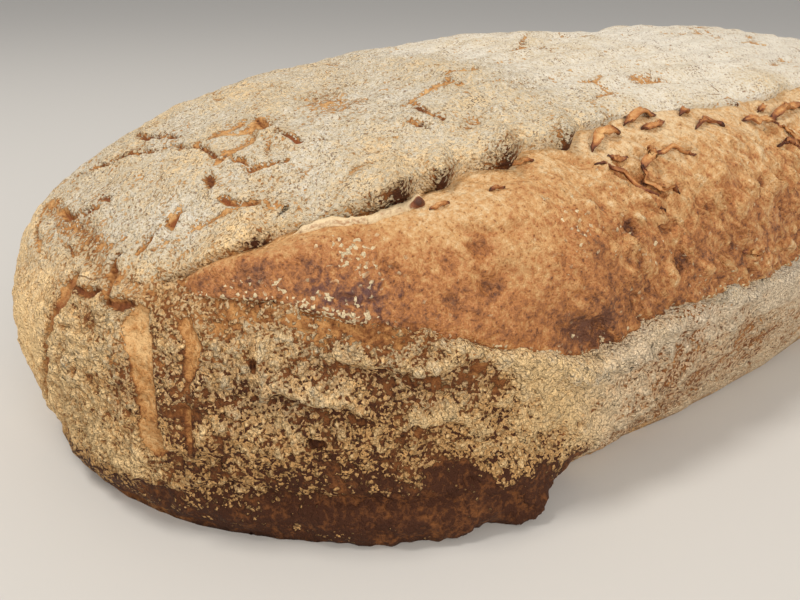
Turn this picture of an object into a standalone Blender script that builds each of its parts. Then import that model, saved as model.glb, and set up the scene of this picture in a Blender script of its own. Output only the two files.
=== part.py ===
"""A long wheat sourdough loaf, baked in one piece, standing on its flat base.

Metres, +Z up. The origin is the middle of the base, +X runs along the loaf, and the scored side,
where the dough burst open under its ear, faces -Y.
"""

import math

import bmesh
import bpy

# Driving dimensions of the whole loaf.
LENGTH = 0.340
WIDTH = 0.152
HEIGHT = 0.080
WIDEST_AT = 0.025  # height of the widest place above the base
BASE_INSET = 0.009  # how far the base's edge lies inside the widest outline

# Squareness of the outlines seen from above: 2 is an ellipse, and larger is squarer.
FRONT_SQUARENESS = 2.55
BACK_SQUARENESS = 3.20
BASE_SQUARENESS = 2.45
BASE_BACK_SQUARENESS = 2.85

# Shape of the dome over the widest place, and of the tuck below it.
DOME_SHOULDER = 2.7
DOME_CROWN = 2.3
TUCK = 1.9

# The score's upper edge, the ear, as a share of the widest outline. It runs level along the front and
# bends outwards, and so down, to its two tips. Angles are measured from the middle of the front.
EAR_SHARE = 0.69
TIP_SHARE = 0.96
BEND_STARTS = math.radians(25)
BEND_ENDS = math.radians(80)
EAR_TIPS = math.radians(76)
CORNER = math.radians(45)  # where the box's front and ends meet

# The burst dough's lower edge, as a height: level along the front, with a dip before each rise.
LOWER_HEIGHT = 0.035
LOWER_RISE = 0.0125
RISE_STARTS = math.radians(30)
RISE_ENDS = math.radians(60)
LOWER_DIP = 0.004
DIP_AT = math.radians(31)
DIP_WIDTH = math.radians(6)

BLOOM_SWELL = 0.0032  # how far the burst dough swells past the dome
EAR_LIFT = 0.0024  # how far the crust stands up along the ear
EAR_REACH = 0.014  # how far back from the ear the lift dies away
GROOVE_DEPTH = 0.0022  # of the crevice under the ear
GROOVE_REACH = 0.007

# The dough spread a little at the front left foot as it rose.
FOOT_AT = -0.122
FOOT_SPREAD = 0.0105
FOOT_REACH = 0.045

# Cells of the box that the loaf is shaped from.
CELLS_ALONG = 44
CELLS_ACROSS = 22
CELLS_UP = 11
CELLS_UNDER_WIDEST = 3

CRUST_COLOUR = (0.58, 0.37, 0.19, 1.0)
CRUST_ROUGHNESS = 0.85
SHARP_ANGLE = math.radians(50)


def clear_scene():
    for thing in list(bpy.data.objects):
        bpy.data.objects.remove(thing, do_unlink=True)


def ease(share):
    """0 below 0, 1 above 1, and a smooth step between."""
    share = min(max(share, 0.0), 1.0)
    return share * share * (3.0 - 2.0 * share)


def outline(angle, front_power, back_power):
    """A point of the unit outline seen from above, squarer at the back than at the front."""
    cosine, sine = math.cos(angle), math.sin(angle)
    power = front_power + (back_power - front_power) * ease((sine + 0.35) / 0.7)
    radius = (abs(cosine) ** power + abs(sine) ** power) ** (-1.0 / power)
    return radius * cosine, radius * sine


def from_front(angle):
    """The angle between a direction seen from above and the middle of the front."""
    return abs(math.atan2(math.cos(angle), -math.sin(angle)))


def ear_share(turn):
    """Where the ear lies, as a share of the widest outline, this far round from the front."""
    return EAR_SHARE + (TIP_SHARE - EAR_SHARE) * ease((turn - BEND_STARTS) / (BEND_ENDS - BEND_STARTS))


def lower_height(turn):
    """Height of the burst dough's lower edge, this far round from the front."""
    rise = LOWER_RISE * ease((turn - RISE_STARTS) / (RISE_ENDS - RISE_STARTS))
    dip = LOWER_DIP * math.exp(-(((turn - DIP_AT) / DIP_WIDTH) ** 2))
    return LOWER_HEIGHT + rise - dip


def cap_share(angle):
    """The box's top grid ends on the ear along the front, and on a plain outline elsewhere."""
    return ear_share(min(from_front(angle), CORNER))


def dome_height(share):
    """Height of the dome at this share of the widest outline."""
    rise = max(0.0, 1.0 - share**DOME_SHOULDER) ** (1.0 / DOME_CROWN)
    return WIDEST_AT + (HEIGHT - WIDEST_AT) * rise


def dome_share(height):
    """The share of the widest outline at which the dome has this height."""
    rise = min(max((height - WIDEST_AT) / (HEIGHT - WIDEST_AT), 0.0), 1.0)
    return (1.0 - rise**DOME_CROWN) ** (1.0 / DOME_SHOULDER)


def tucked_wall(angle, rise):
    """A point of the wall between the base's edge, at rise 0, and the widest place, at rise 1."""
    tuck = (1.0 - rise) ** TUCK
    wide_x, wide_y = outline(angle, FRONT_SQUARENESS, BACK_SQUARENESS)
    base_x, base_y = outline(angle, BASE_SQUARENESS, BASE_BACK_SQUARENESS)
    x = (wide_x + (base_x - wide_x) * tuck) * (LENGTH / 2 - BASE_INSET * tuck)
    y = (wide_y + (base_y - wide_y) * tuck) * (WIDTH / 2 - BASE_INSET * tuck)
    return x, y, WIDEST_AT * rise


def dome_point(angle, share):
    x, y = outline(angle, FRONT_SQUARENESS, BACK_SQUARENESS)
    return x * share * LENGTH / 2, y * share * WIDTH / 2, dome_height(share)


def box_to_loaf(u, v, w):
    """The plain loaf's point for a point of the box, with its share of the outline, or None under the dome."""
    spread = max(abs(u), abs(v))
    angle = math.atan2(v, u)
    if spread < 1.0 - 1e-6 and w < 0.0:
        x, y, _ = tucked_wall(angle, 0.0)
        return (x * spread, y * spread, 0.0), None
    if spread < 1.0 - 1e-6:
        share = cap_share(angle) * spread
        return dome_point(angle, share), share
    level = (w + 1.0) / 2.0
    under = CELLS_UNDER_WIDEST / CELLS_UP
    if level < under:
        return tucked_wall(angle, level / under), None
    climb = (level - under) / (1.0 - under)
    share = math.cos(climb * math.acos(cap_share(angle)))
    return dome_point(angle, share), share


def relief(angle, share):
    """How far the surface stands out from the plain dome along the score."""
    turn = from_front(angle)
    if turn > EAR_TIPS:
        return 0.0
    fade = ease((EAR_TIPS - turn) / (EAR_TIPS - CORNER))
    radius = math.hypot(WIDTH / 2 * math.cos(turn), LENGTH / 4 * math.sin(turn))
    climb = math.acos(min(share, 1.0))
    ear = math.acos(ear_share(turn))
    lower = math.acos(dome_share(lower_height(turn)))
    beyond_ear = (climb - ear) * radius
    if beyond_ear >= 0.0:
        return EAR_LIFT * fade * ease(1.0 - beyond_ear / EAR_REACH)
    across = (climb - lower) / max(ear - lower, 1e-6)
    swell = BLOOM_SWELL * math.sin(math.pi * min(max(across, 0.0), 1.0))
    groove = GROOVE_DEPTH * ease(1.0 + beyond_ear / GROOVE_REACH)
    lift = EAR_LIFT * ease(1.0 + 2.0 * beyond_ear / GROOVE_REACH)
    return fade * (swell + lift - groove)


def foot_spread(x, y, z):
    """The outward spread of the front left foot near the base."""
    near = ease(1.0 - abs(x - FOOT_AT) / FOOT_REACH)
    low = ease(1.0 - z / WIDEST_AT)
    front = ease(-4.0 * y / WIDTH)
    return FOOT_SPREAD * near * low * front


def boxed_grid():
    """A box of even cells, cut along, across and up."""
    grid = bmesh.new()
    bmesh.ops.create_cube(grid, size=2.0)
    for axis, cells in enumerate((CELLS_ALONG, CELLS_ACROSS, CELLS_UP)):
        running = [
            edge for edge in grid.edges if abs((edge.verts[0].co - edge.verts[1].co)[axis]) > 1e-6
        ]
        bmesh.ops.subdivide_edges(grid, edges=running, cuts=cells - 1, use_grid_fill=True)
    return grid


def shape_loaf(grid):
    """Moves the box's points onto the loaf, then adds the score and the foot."""
    raised = {}
    for point in grid.verts:
        angle = math.atan2(point.co.y, point.co.x)
        place, share = box_to_loaf(*point.co)
        point.co = place
        raised[point] = 0.0 if share is None else relief(angle, share)
    grid.normal_update()
    out_of = {point: point.normal.copy() for point in grid.verts}
    for point in grid.verts:
        point.co += out_of[point] * raised[point]
        point.co.y -= foot_spread(*point.co)


def crust_material():
    material = bpy.data.materials.new("crust")
    material.use_nodes = True
    shader = material.node_tree.nodes["Principled BSDF"]
    shader.inputs["Base Color"].default_value = CRUST_COLOUR
    shader.inputs["Roughness"].default_value = CRUST_ROUGHNESS
    shader.inputs["Metallic"].default_value = 0.0
    return material


def build_loaf():
    grid = boxed_grid()
    shape_loaf(grid)
    bmesh.ops.recalc_face_normals(grid, faces=grid.faces)
    mesh = bpy.data.meshes.new("loaf")
    grid.to_mesh(mesh)
    grid.free()
    mesh.shade_smooth()
    mesh.set_sharp_from_angle(angle=SHARP_ANGLE)
    mesh.materials.append(crust_material())
    loaf = bpy.data.objects.new("loaf", mesh)
    bpy.context.scene.collection.objects.link(loaf)


clear_scene()
build_loaf()
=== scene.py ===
import math

import bmesh
import bpy
import numpy as np
from mathutils import Matrix, Quaternion, Vector
from mathutils.kdtree import KDTree


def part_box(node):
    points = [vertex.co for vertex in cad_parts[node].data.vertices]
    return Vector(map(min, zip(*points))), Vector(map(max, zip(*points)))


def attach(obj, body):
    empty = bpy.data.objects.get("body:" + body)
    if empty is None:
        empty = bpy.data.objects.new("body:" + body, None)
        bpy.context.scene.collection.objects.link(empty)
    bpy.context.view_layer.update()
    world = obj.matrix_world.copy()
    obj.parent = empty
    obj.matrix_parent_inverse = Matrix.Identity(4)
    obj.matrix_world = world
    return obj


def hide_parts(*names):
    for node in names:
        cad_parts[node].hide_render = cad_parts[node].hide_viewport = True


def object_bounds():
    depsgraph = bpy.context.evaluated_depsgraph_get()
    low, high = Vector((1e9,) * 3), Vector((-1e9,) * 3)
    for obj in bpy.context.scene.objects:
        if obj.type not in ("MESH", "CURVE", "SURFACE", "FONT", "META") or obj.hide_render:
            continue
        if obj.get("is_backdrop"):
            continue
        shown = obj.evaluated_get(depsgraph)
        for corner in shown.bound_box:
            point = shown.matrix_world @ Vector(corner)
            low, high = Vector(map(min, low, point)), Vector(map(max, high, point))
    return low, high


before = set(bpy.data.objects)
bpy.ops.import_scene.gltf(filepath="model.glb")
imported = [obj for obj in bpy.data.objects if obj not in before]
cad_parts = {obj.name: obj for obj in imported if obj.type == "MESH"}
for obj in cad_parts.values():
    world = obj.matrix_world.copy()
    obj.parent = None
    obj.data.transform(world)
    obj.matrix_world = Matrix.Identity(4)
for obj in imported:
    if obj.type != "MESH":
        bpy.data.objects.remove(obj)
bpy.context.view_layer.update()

loaf_low, loaf_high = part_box("loaf")

# Camera. It stands close to the near end of the loaf, a little above the crown, and looks along and
# down over the burst side, with the slight lean of a camera held in the hand.
CAMERA_AT = (-0.2038, -0.1426, 0.0980)
CAMERA_HEADING = math.radians(49.3)  # from straight at the burst side towards the far end
CAMERA_TILT = math.radians(23.56)
CAMERA_LEAN = math.radians(0.77)
camera_data = bpy.data.cameras.new("camera")
camera_data.sensor_width = 36.0
camera_data.lens = 34.5
camera_data.clip_start = 0.01
camera_data.clip_end = 20.0
camera = bpy.data.objects.new("camera", camera_data)
bpy.context.scene.collection.objects.link(camera)
heading = Vector((math.cos(CAMERA_HEADING), math.sin(CAMERA_HEADING), -math.tan(CAMERA_TILT)))
camera.rotation_mode = "QUATERNION"
camera.location = CAMERA_AT
camera.rotation_quaternion = heading.to_track_quat("-Z", "Y") @ Quaternion((0, 0, 1), CAMERA_LEAN)
bpy.context.scene.camera = camera


# Crust: the outer skin of the whole loaf, baked dough under a coat of flour. It rose in a basket and was
# baked in one piece with the rest. It is cut open along the score, where its upper edge stands up as the
# ear, and it is cracked at the near end.

# The loaf's plain shape: a squared oval outline under a dome, tucked in below its widest place. The
# crust and the burst dough are both formed on it, and both follow the score's two edges.
HALF_LENGTH = (loaf_high.x - loaf_low.x) / 2
HALF_WIDTH = (loaf_high.y - loaf_low.y) / 2
HEIGHT = loaf_high.z - loaf_low.z
WIDEST_AT = 0.025
BASE_INSET = 0.009
FRONT_SQUARENESS, BACK_SQUARENESS = 2.55, 3.20
BASE_SQUARENESS, BASE_BACK_SQUARENESS = 2.45, 2.85
DOME_SHOULDER, DOME_CROWN, TUCK = 2.7, 2.3, 1.9
EAR_SHARE, TIP_SHARE = 0.69, 0.96
BEND_STARTS, BEND_ENDS = math.radians(25), math.radians(80)
EAR_TIPS = math.radians(76)
LOWER_HEIGHT, LOWER_RISE, LOWER_DIP = 0.035, 0.0125, 0.004
RISE_STARTS, RISE_ENDS = math.radians(30), math.radians(60)
DIP_AT, DIP_WIDTH = math.radians(31), math.radians(6)


def ease(share):
    """0 below 0, 1 above 1, and a smooth step between."""
    share = np.clip(share, 0.0, 1.0)
    return share * share * (3.0 - 2.0 * share)


def past(values, start, over):
    """0 up to the start, and 1 once it is passed by the second length."""
    return ease((values - start) / over)


def short_of(values, start, over):
    """0 from the start on, and 1 once it is missed by the second length."""
    return ease((start - values) / over)


def hump(values, middle, half):
    """1 at the middle, fading to nothing at either side."""
    return np.exp(-(((values - middle) / half) ** 2))


def outline(angle, front_power, back_power):
    """Points of the unit outline seen from above, squarer at the back than at the front."""
    cosine, sine = np.cos(angle), np.sin(angle)
    power = front_power + (back_power - front_power) * past(sine, -0.35, 0.7)
    radius = (np.abs(cosine) ** power + np.abs(sine) ** power) ** (-1.0 / power)
    return radius * cosine, radius * sine


def from_front(angle):
    """The angle between directions seen from above and the middle of the front."""
    return np.abs(np.arctan2(np.cos(angle), -np.sin(angle)))


def ear_share(turn):
    """The share of the outline's reach at which the ear runs, this far round from the front."""
    return EAR_SHARE + (TIP_SHARE - EAR_SHARE) * past(turn, BEND_STARTS, BEND_ENDS - BEND_STARTS)


def lower_height(turn):
    """The height of the score's lower edge, this far round from the front."""
    rise = LOWER_RISE * past(turn, RISE_STARTS, RISE_ENDS - RISE_STARTS)
    return LOWER_HEIGHT + rise - LOWER_DIP * hump(turn, DIP_AT, DIP_WIDTH)


def dome_height(share):
    rise = np.maximum(0.0, 1.0 - share**DOME_SHOULDER) ** (1.0 / DOME_CROWN)
    return WIDEST_AT + (HEIGHT - WIDEST_AT) * rise


def dome_share(height):
    rise = np.clip((height - WIDEST_AT) / (HEIGHT - WIDEST_AT), 0.0, 1.0)
    return (1.0 - rise**DOME_CROWN) ** (1.0 / DOME_SHOULDER)


def tucked_wall(angle, rise):
    """Points of the wall between the base's edge, at rise 0, and the widest place, at rise 1."""
    tuck = (1.0 - rise) ** TUCK
    wide_x, wide_y = outline(angle, FRONT_SQUARENESS, BACK_SQUARENESS)
    base_x, base_y = outline(angle, BASE_SQUARENESS, BASE_BACK_SQUARENESS)
    x = (wide_x + (base_x - wide_x) * tuck) * (HALF_LENGTH - BASE_INSET * tuck)
    y = (wide_y + (base_y - wide_y) * tuck) * (HALF_WIDTH - BASE_INSET * tuck)
    return np.stack([x, y, WIDEST_AT * rise], -1)


def dome_points(angle, share):
    x, y = outline(angle, FRONT_SQUARENESS, BACK_SQUARENESS)
    return np.stack([x * share * HALF_LENGTH, y * share * HALF_WIDTH, dome_height(share)], -1)


def score_places(angle, share):
    """Distances along the surface: past the ear towards the crown, and above the lower edge."""
    turn = from_front(angle)
    radius = np.hypot(HALF_WIDTH * np.cos(turn), HALF_LENGTH / 2 * np.sin(turn))
    climb = np.arccos(np.clip(share, 0.0, 1.0))
    ear = np.arccos(ear_share(turn))
    lower = np.arccos(dome_share(lower_height(turn)))
    return (climb - ear) * radius, (climb - lower) * radius


# Grain fields for the baked surface: soft lumps, and cells for cracks, plates and blisters. Each is
# worked out from a point's place alone, so that it comes out the same in every run.
MIXING_PRIMES = np.array([374761393, 668265263, 2246822519], np.uint32)
FIRST_MIX, SECOND_MIX = np.uint32(2246822519), np.uint32(3266489917)
SEED_MIX = 69069
LOW_BITS = 0xFFFFFF
FINER, FAINTER = 2.03, 0.55  # of each layer of lumps against the last
SEED_SHIFT = 3.7  # of the grid of lumps, for each seed
LUMP_GAIN = 1.6
MIDDLE_SEEDS, NAME_SEED, PUSH_SEEDS = (0, 7, 13), 23, (0, 31, 62)
FAR_AWAY = 9.0


def scattered(cell, seed):
    """A repeatable number from 0 to 1 for each whole-numbered cell."""
    with np.errstate(over="ignore"):
        mixed = cell.astype(np.uint32) * MIXING_PRIMES
        total = mixed[..., 0] ^ mixed[..., 1] ^ mixed[..., 2] ^ np.uint32(seed * SEED_MIX + 1)
        total = (total ^ (total >> np.uint32(15))) * FIRST_MIX
        total = (total ^ (total >> np.uint32(13))) * SECOND_MIX
    return ((total ^ (total >> np.uint32(16))) & np.uint32(LOW_BITS)) / LOW_BITS


def soft_lumps(points, size, seed, octaves=3):
    """Soft noise of this grain size in metres, about -1 to 1."""
    total, weight, whole = 0.0, 1.0, 0.0
    for octave in range(octaves):
        spot = points / size * FINER**octave + seed * SEED_SHIFT
        cell = np.floor(spot).astype(np.int64)
        share = ease(spot - cell)
        value = 0.0
        for step in np.ndindex(2, 2, 2):
            near = np.where(np.array(step) == 1, share, 1.0 - share).prod(-1)
            value = value + near * scattered(cell + np.array(step), seed + octave)
        total = total + weight * (2.0 * value - 1.0)
        whole += weight
        weight *= FAINTER
    return total / whole * LUMP_GAIN


def cells(points, size, seed):
    """Distances to the nearest cell's middle and to its wall, and that cell's own number."""
    spot = points / size
    home = np.floor(spot).astype(np.int64)
    first = np.full(len(spot), FAR_AWAY)
    second = np.full(len(spot), FAR_AWAY)
    name = np.zeros(len(spot))
    for step in np.ndindex(3, 3, 3):
        cell = home + np.array(step) - 1
        middle = cell + np.stack([scattered(cell, seed + k) for k in MIDDLE_SEEDS], -1)
        away = np.linalg.norm(spot - middle, axis=-1)
        closer = away < first
        second = np.where(closer, first, np.minimum(second, away))
        first = np.where(closer, away, first)
        name = np.where(closer, scattered(cell, seed + NAME_SEED), name)
    return first * size, (second - first) * size / 2, name


def warped(points, amount, size, seed):
    """The points, pushed about softly, so that what is drawn on them wanders."""
    push = [soft_lumps(points, size, seed + k, 2) for k in PUSH_SEEDS]
    return points + amount * np.stack(push, -1)


# Each piece starts as a box, is cut into cells in edit mode, and then has its points laid in place.
TINY = 1e-6


def new_box():
    """A box from -1 to 1 along each axis, open for cutting."""
    bpy.ops.object.select_all(action="DESELECT")
    bpy.ops.mesh.primitive_cube_add(size=2)
    bpy.ops.object.mode_set(mode="EDIT")
    bpy.ops.mesh.select_mode(type="EDGE")
    return bpy.context.object


def face_outwards():
    """Turns the active piece's faces outwards and smooths it."""
    bpy.ops.object.mode_set(mode="EDIT")
    bpy.ops.mesh.select_all(action="SELECT")
    bpy.ops.mesh.normals_make_consistent(inside=False)
    bpy.ops.object.mode_set(mode="OBJECT")
    bpy.ops.object.shade_smooth()


def cut_cells(piece, axis, *cuts):
    """Cuts every edge that runs along this axis, as loop cuts would."""
    for count in cuts:
        bpy.ops.mesh.select_all(action="DESELECT")
        mesh = bmesh.from_edit_mesh(piece.data)
        for edge in mesh.edges:
            edge.select_set(abs(edge.verts[0].co[axis] - edge.verts[1].co[axis]) > TINY)
        bmesh.update_edit_mesh(piece.data)
        bpy.ops.mesh.subdivide(number_cuts=count)


def points_of(piece):
    found = np.empty(len(piece.data.vertices) * 3, np.float32)
    piece.data.vertices.foreach_get("co", found)
    return found.reshape(-1, 3).astype(np.float64)


def place_points(piece, points):
    piece.data.vertices.foreach_set("co", np.ascontiguousarray(points, np.float32).ravel())
    piece.data.update()


def normals_of(piece):
    found = np.empty(len(piece.data.vertices) * 3, np.float32)
    piece.data.vertices.foreach_get("normal", found)
    return found.reshape(-1, 3).astype(np.float64)


def paint(piece, name, *shares):
    """Stores up to three numbers from 0 to 1 at each point, for a material to read."""
    layer = piece.data.color_attributes.new(name, "FLOAT_COLOR", "POINT")
    values = np.ones((len(piece.data.vertices), 4), np.float32)
    for k, share in enumerate(shares):
        values[:, k] = np.clip(share, 0.0, 1.0)
    layer.data.foreach_set("color", values.ravel())


# The crust's mesh is a box of cells, laid onto the plain loaf. Its corners come where the score ends.
CRUST_CELLS_ALONG = (23, 9)  # cuts, then cuts of each cell again
CRUST_CELLS_ACROSS = (79,)
CRUST_CELLS_UP = (49,)
UNDER_WIDEST = 0.33  # share of the wall's cells below the widest place
CORNER = math.radians(62)  # how far round from the front the box's corners lie
BASE_INSETS = (0.03, 0.06)  # shares of the box, for rings of faces on the flat base
SKIN_STEP = 0.004  # share of the outline's reach, for telling which way is down the skin

crust = new_box()
crust.name = "crust"
cut_cells(crust, 0, *CRUST_CELLS_ALONG)
cut_cells(crust, 1, *CRUST_CELLS_ACROSS)
cut_cells(crust, 2, *CRUST_CELLS_UP)


def box_to_crust(box):
    """Angle, share and place on the plain loaf of points of the box, and whether they are on the dome."""
    u, v, w = box.T
    spread = np.maximum(np.abs(u), np.abs(v))
    angle = np.arctan2(v, u * math.tan(CORNER))
    side = spread > 1.0 - 1e-5
    level = (w + 1.0) / 2.0
    cap = ear_share(np.minimum(from_front(angle), CORNER))
    climb = np.clip((level - UNDER_WIDEST) / (1.0 - UNDER_WIDEST), 0.0, 1.0)
    share = np.where(side, np.cos(climb * np.arccos(cap)), cap * spread)
    dome = (side & (level >= UNDER_WIDEST)) | (~side & (w > 0.0))
    rise = np.where(side, np.clip(level / UNDER_WIDEST, 0.0, 1.0), 0.0)
    place = np.where(dome[:, None], dome_points(angle, share), tucked_wall(angle, rise))
    inner = ~side & (w < 0.0)
    place[inner, :2] *= spread[inner, None]
    place[inner, 2] = 0.0
    return angle, np.where(dome, share, 1.0), place, dome


bpy.ops.mesh.select_mode(type="FACE")
bpy.ops.mesh.select_all(action="DESELECT")
grid = bmesh.from_edit_mesh(crust.data)
for face in grid.faces:
    face.select_set(face.normal.z < -0.9)
bmesh.update_edit_mesh(crust.data)
bpy.ops.mesh.dissolve_faces()
for width in BASE_INSETS:
    bpy.ops.mesh.inset(thickness=width)
bpy.ops.mesh.select_all(action="DESELECT")

# Finer cells where the skin is most broken: nearer, further to the front and higher than each of these.
FINER_PARTS = ((-0.063, 0.014, 0.0005), (-0.020, -0.035, 0.060), (-0.105, 0.044, 0.010))
grid = bmesh.from_edit_mesh(crust.data)
middles = np.array([face.calc_center_median() for face in grid.faces])
_, _, at, _ = box_to_crust(middles)
finer = np.zeros(len(middles), bool)
for nearer_than, before, higher_than in FINER_PARTS:
    finer |= (at[:, 0] < nearer_than) & (at[:, 1] < before) & (at[:, 2] > higher_than)
for face, chosen in zip(grid.faces, finer):
    face.select_set(bool(chosen))
bmesh.update_edit_mesh(crust.data)
bpy.ops.mesh.subdivide(number_cuts=1)
bpy.ops.object.mode_set(mode="OBJECT")

angle, share, plain, on_dome = box_to_crust(points_of(crust))
place_points(crust, plain)
face_outwards()
place_points(crust, plain)
outward = normals_of(crust)
turn = from_front(angle)
past_ear, above_lower = score_places(angle, share)
FAR_FROM_SCORE = -0.2
TIPS_FADE = math.radians(9)
past_ear = np.where(on_dome, past_ear, FAR_FROM_SCORE)
above_lower = np.where(on_dome, above_lower, FAR_FROM_SCORE)
in_score = short_of(turn, EAR_TIPS, TIPS_FADE) * (plain[:, 1] < 0.0)
x, y, z = plain.T
down_skin = dome_points(angle, np.clip(share + SKIN_STEP, 0, 1.0))
down_skin -= dome_points(angle, np.clip(share - SKIN_STEP, 0, 1.0))
down_skin /= np.maximum(np.linalg.norm(down_skin, axis=-1, keepdims=True), 1e-9)
wandered = warped(plain, 0.0012, 0.006, 71)
fine = soft_lumps(plain, 0.0021, 5, 3)
clumps = soft_lumps(plain, 0.0048, 9, 3)
lumps = soft_lumps(plain, 0.016, 3, 2)
swells = soft_lumps(plain, 0.045, 4, 2)

# The plain skin, for laying cracks and creases on.
skin_tree = KDTree(len(plain))
for k, spot in enumerate(plain):
    skin_tree.insert(spot, k)
skin_tree.balance()


def along_skin(path, step=0.0025):
    """A path through a few places in millimetres, filled in and laid on the skin."""
    laid = []
    for start, end in zip(path, path[1:]):
        start, end = np.array(start) / 1000, np.array(end) / 1000
        count = max(2, int(np.linalg.norm(end - start) / step))
        for k in range(count):
            laid.append(plain[skin_tree.find(start + (end - start) * k / count)[1]])
    laid.append(plain[skin_tree.find(np.array(path[-1]) / 1000)[1]])
    return np.array(laid)


PATH_REACH = 0.02  # a path changes nothing further off than this


def near_path(points, path):
    """Distance from each point to a path, and the share of the path's length at the nearest place."""
    away = np.full(len(points), FAR_AWAY)
    place = np.zeros(len(points))
    low, high = path.min(0) - PATH_REACH, path.max(0) + PATH_REACH
    near = np.flatnonzero(((points > low) & (points < high)).all(-1))
    spots = points[near]
    best, where = np.full(len(near), FAR_AWAY), np.zeros(len(near))
    for k, (start, end) in enumerate(zip(path, path[1:])):
        run = end - start
        length = max(float(run @ run), 1e-12)
        part = np.clip((spots - start) @ run / length, 0.0, 1.0)
        gap = np.linalg.norm(spots - start - part[:, None] * run, axis=-1)
        closer = gap < best
        best = np.where(closer, gap, best)
        where = np.where(closer, (k + part) / (len(path) - 1), where)
    away[near], place[near] = best, where
    return away, place


# What each feature adds up to, at every point of the skin.
raised = np.zeros(len(plain))  # outward move of each point
slid = np.zeros(len(plain))  # move of each point down the skin, over the burst
coat = np.full(len(plain), 0.93)  # flour on the skin
# The skin's darkness holds its bake, and also painted shade in the cracks, the crease, under the ledges, on
# the tongues' flanks, in the pits and in the gaps between clumps.
bake_and_shade = np.full(len(plain), 0.30)  # how dark the skin under it is
open_skin = np.zeros(len(plain))  # cracks and torn places, with no flour in them
rust = np.zeros(len(plain))  # reddish brown of thin torn edges
near_half = short_of(x, -0.055, 0.02) * short_of(y, 0.050, 0.01)

# Soft unevenness of the whole loaf, and the faint rings that the basket leaves along the crown.
RING_SPACING, RING_HEIGHT, RING_WANDER = 0.0085, 0.00042, 0.004
raised += 0.0011 * swells + 0.00080 * lumps
raised += (0.00020 + 0.00032 * near_half) * clumps + (0.00006 + 0.00018 * near_half) * fine
rings = np.sin((y + RING_WANDER * soft_lumps(plain, 0.06, 14, 2)) / RING_SPACING * 2 * math.pi)
crown = past(z, 0.060, 0.010) * past(x, -0.110, 0.040)
raised += RING_HEIGHT * crown * rings * np.clip(past_ear / 0.02, 0, 1)

# Plates of floured skin over the crown and the near end, with the dough's golden skin between them.
PLATE_SIZE = 0.019
PLATE_STRETCH = (0.62, 1.0, 1.0)
_, plate_wall, plate_name = cells(warped(plain, 0.007, 0.03, 81) * PLATE_STRETCH, PLATE_SIZE, 21)
split = short_of(plate_wall, 0.0007, 0.0007) * past(soft_lumps(plain, 0.022, 33, 2), 0.05, 0.3)
split *= past(past_ear, 0.004, 0.006) * past(x, -0.160, 0.006)
raised += 0.00045 * (plate_name - 0.5) * (1 - split) - 0.0007 * split
open_skin = np.maximum(open_skin, 0.85 * split)

# Cracks: a path in millimetres, half its width, its depth, and how red its floor is.
CRACKS = (
    (((-159, 19, 50), (-158, 14, 50), (-155, 4, 54)), 0.7, 1.0, 0.8),
    (((-160, 16, 49), (-162, 12, 47), (-162, 2, 47)), 0.5, 0.7, 0.5),
    (((-148, -15, 57), (-150, -16, 56), (-151, -20, 55)), 0.75, 1.1, 0.8),
    (((-152, 3, 55), (-155, 11, 53)), 0.3, 0.4, 0.6),
    (((-158, -12, 50), (-160, -12, 49), (-162, -15, 45), (-164, -16, 44)), 0.55, 1.1, 0.6),
    (((-151, -16, 55), (-155, -16, 53), (-157, -16, 51)), 0.55, 0.9, 0.6),
    (((-154, -19, 52), (-151, -20, 54)), 0.4, 0.6, 0.5),
    (
        ((-150, 28, 55), (-146, 21, 59), (-142, 16, 61), (-139, 9, 63), (-136, 1, 64), (-136, -8, 64)),
        0.5, 0.9, 0.5,
    ),
    (((-136, 28, 62), (-136, 24, 63), (-135, 11, 64)), 0.5, 0.8, 0.5),
    (((-134, -14, 64), (-133, -20, 64), (-130, -23, 65)), 0.5, 0.9, 0.5),
    (((-139, -13, 62), (-141, -17, 61)), 0.9, 0.8, 0.2),
    (((-141, -22, 60), (-141, -24, 60), (-139, -27, 60)), 0.5, 0.9, 0.9),
    (((-165, -6, 43), (-163, -13, 45)), 0.5, 0.9, 0.5),
    (((-125, -13, 67), (-124, -18, 67), (-120, -21, 68), (-120, -24, 67)), 0.5, 0.9, 1.0),
    (((-123, -3, 68), (-125, -10, 68)), 0.8, 0.5, 0.1),
    (((-101, -25, 72), (-100, -33, 70)), 0.7, 0.4, 0.3),
    (((-106, -30, 70), (-104, -33, 69)), 0.8, 0.4, 0.2),
    (((-157, 30, 48), (-161, 24, 44), (-163, 17, 43)), 0.5, 0.8, 0.4),
    (((-164, -16, 44), (-162, -19, 44), (-161, -22, 44)), 0.45, 0.8, 0.4),
)
NARROWEST_CRACK = 0.80
CRACK_LIP, CRACK_LIP_HALF = 0.00045, 0.0012
for path, half, depth, red in CRACKS:
    gap, along = near_path(wandered, along_skin(path))
    width = max(half, NARROWEST_CRACK) / 1000 * (0.60 + 0.45 * np.sin(math.pi * np.clip(along, 0.06, 0.94)))
    inside = ease((1.7 * width - gap) / (1.4 * width))
    raised += CRACK_LIP * hump(gap, 2.6 * width, CRACK_LIP_HALF) - 1.4 * depth / 1000 * inside
    open_skin = np.maximum(open_skin, inside)
    rust = np.maximum(rust, (0.35 + 0.65 * red) * inside)
    # Painted shade: each crack's narrow core is darkened further, over its bare red skin.
    bake_and_shade += 0.55 * ease((1.25 * width - gap) / (1.0 * width))

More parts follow.
